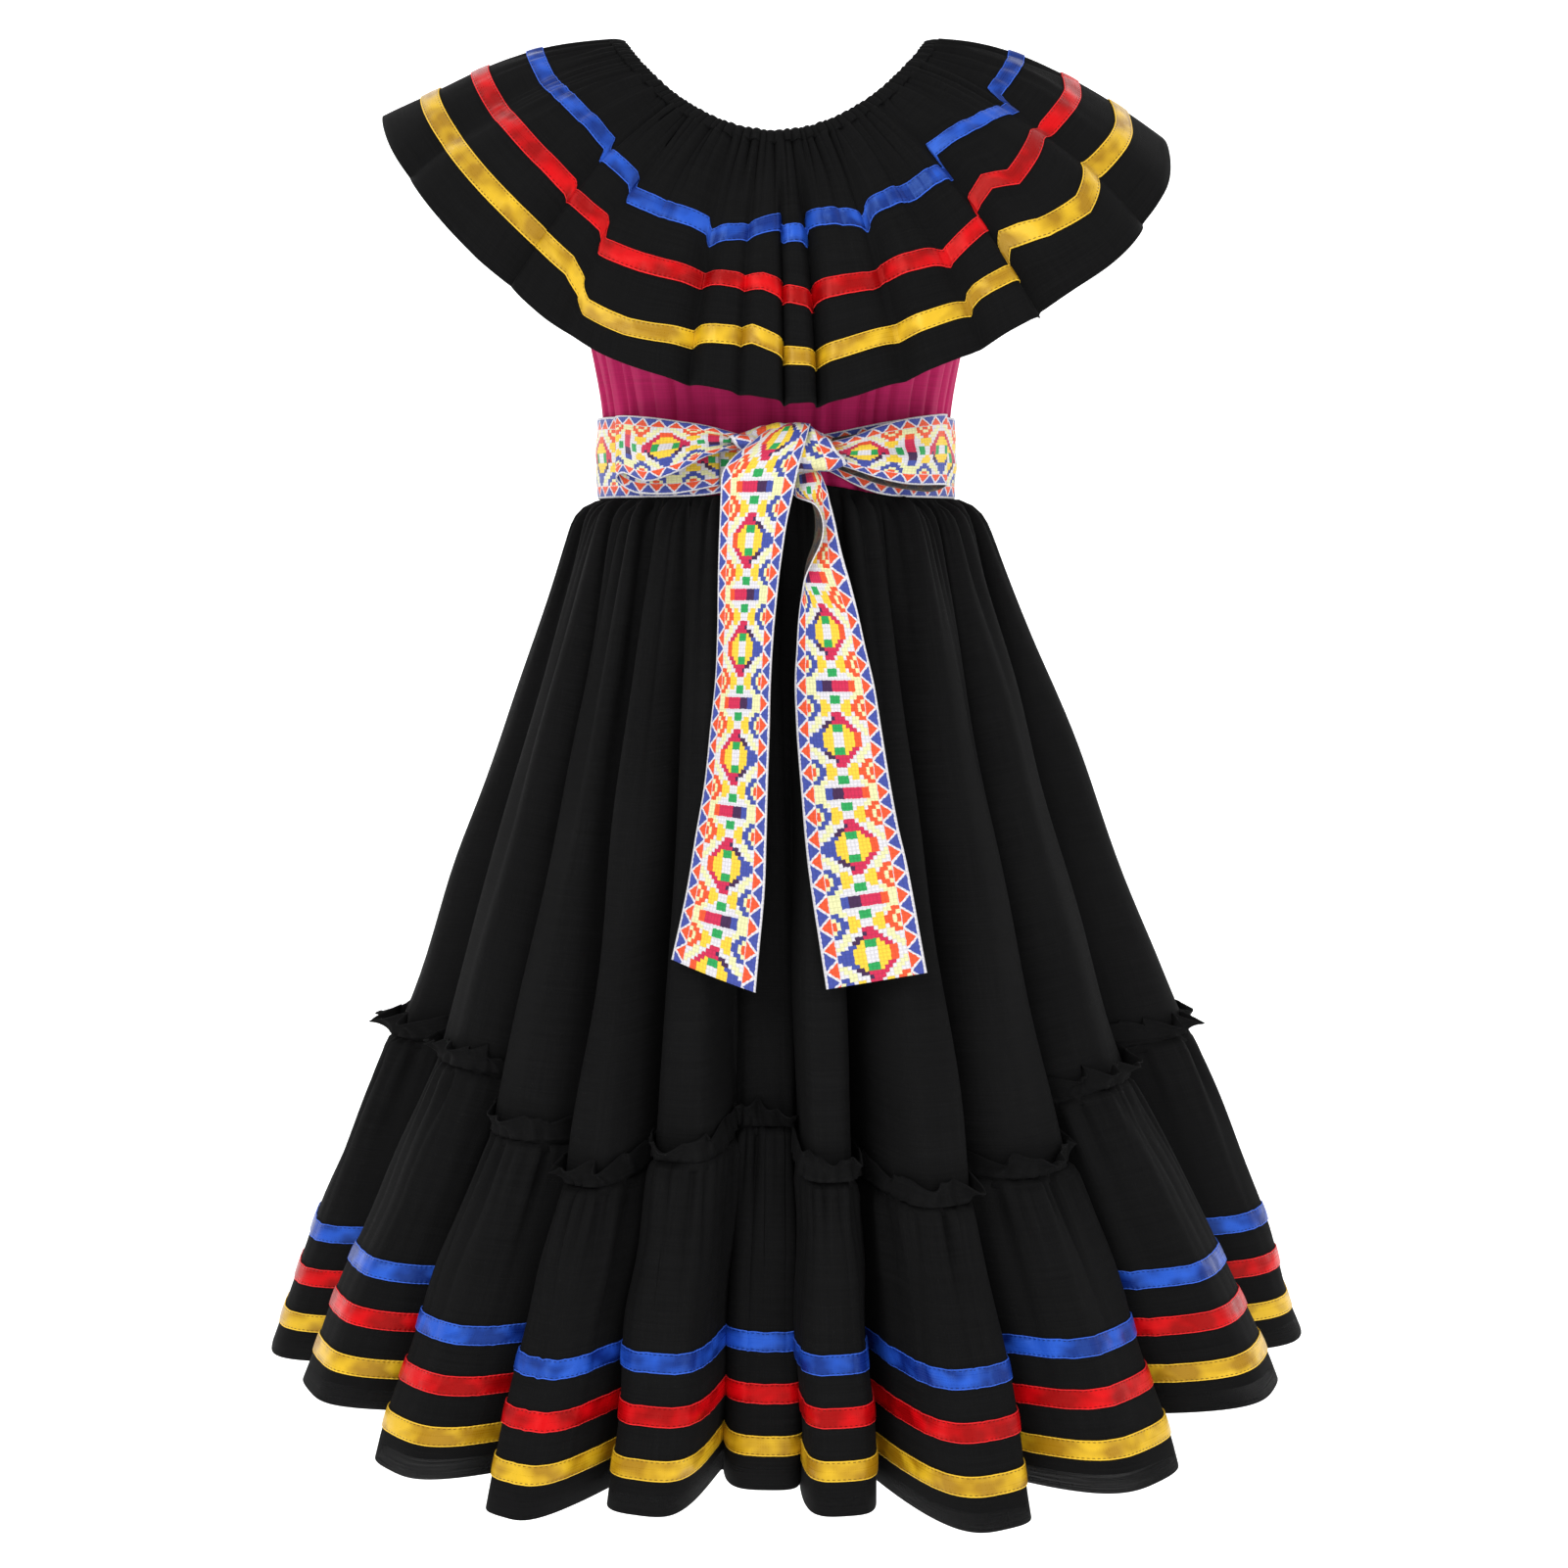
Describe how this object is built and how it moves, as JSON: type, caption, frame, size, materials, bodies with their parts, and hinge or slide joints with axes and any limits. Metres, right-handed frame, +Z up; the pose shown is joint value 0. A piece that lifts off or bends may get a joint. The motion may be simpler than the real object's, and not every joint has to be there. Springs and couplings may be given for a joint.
{
  "type": "child's mexican dress",
  "caption": "Child's off-shoulder folk dress with a wide ribboned neck flounce, gathered bodice, tied woven sash and full flounced skirt.",
  "frame": {"origin": "midway between the two shoulder points of the elastic neckline, where the dress is held up when it is worn", "axes": "+Z up along the body, -Y out of the front of the dress, +X to the wearer's left"},
  "size_m": [0.5836, 0.4427, 0.7569],
  "materials": {
    "black_cotton": "matt gauze",
    "magenta_cotton": "matt",
    "blue_satin": "satin",
    "red_satin": "satin",
    "gold_satin": "satin",
    "woven_sash": "woven jacquard"
  },
  "bodies": {
    "root": {"neck_casing": "black_cotton", "flounce_front": "black_cotton", "flounce_back": "black_cotton", "flounce_ribbon_blue": "blue_satin", "flounce_ribbon_red": "red_satin", "flounce_ribbon_gold": "gold_satin", "bodice_front": "magenta_cotton", "bodice_back": "magenta_cotton", "skirt_main": "black_cotton", "hem_flounce": "black_cotton", "hem_frill": "black_cotton", "hem_ribbon_blue": "blue_satin", "hem_ribbon_red": "red_satin", "hem_ribbon_gold": "gold_satin", "sash_wrap": "woven_sash", "sash_loop_left": "woven_sash", "sash_loop_right": "woven_sash", "sash_knot": "woven_sash", "sash_tail_left": "woven_sash", "sash_tail_right": "woven_sash"}
  },
  "joints": []
}
